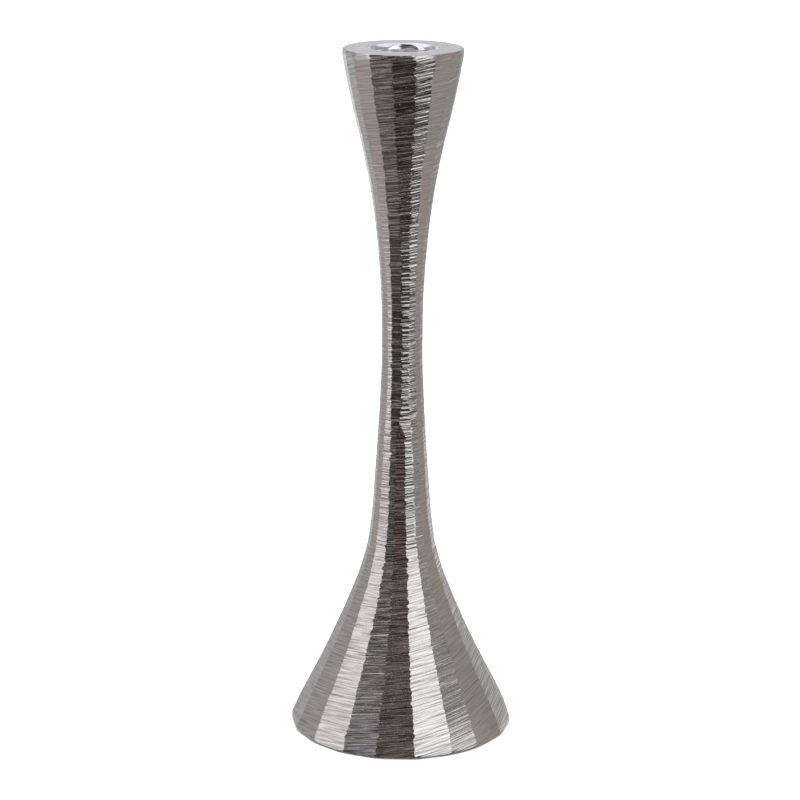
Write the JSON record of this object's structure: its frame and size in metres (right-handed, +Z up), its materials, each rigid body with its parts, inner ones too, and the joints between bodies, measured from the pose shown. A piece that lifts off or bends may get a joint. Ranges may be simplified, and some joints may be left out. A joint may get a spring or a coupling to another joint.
{
  "type": "candlestick",
  "caption": "Tall silver taper candlestick: a slender flared column ground into narrow flat facets on a weighted trumpet foot, with a turned cup for a dinner candle.",
  "frame": {"origin": "centre of the rubber sole's underside, on the surface that the candlestick stands on", "axes": "+Z up the column's axis towards the candle cup, -Y towards the front"},
  "size_m": [0.0844, 0.0843, 0.26],
  "materials": {
    "ground_casting": "hand-ground facets with fine crosswise grooves, satin nickel silver tone",
    "polished_cup": "turned and polished",
    "plated_steel": "zinc plated",
    "cast_weight": "as cast, blackened",
    "backing_board": "raw greyboard",
    "sole_rubber": "matt black non-slip rubber sheet"
  },
  "bodies": {
    "root": {"stem_casting": "ground_casting", "foot_casting": "ground_casting", "candle_cup": "polished_cup", "tie_rod": "plated_steel", "tie_rod_nut": "plated_steel", "lock_washer": "plated_steel", "flat_washer": "plated_steel", "ballast_weight": "cast_weight", "backing_disc": "backing_board", "rubber_sole": "sole_rubber"}
  },
  "joints": []
}
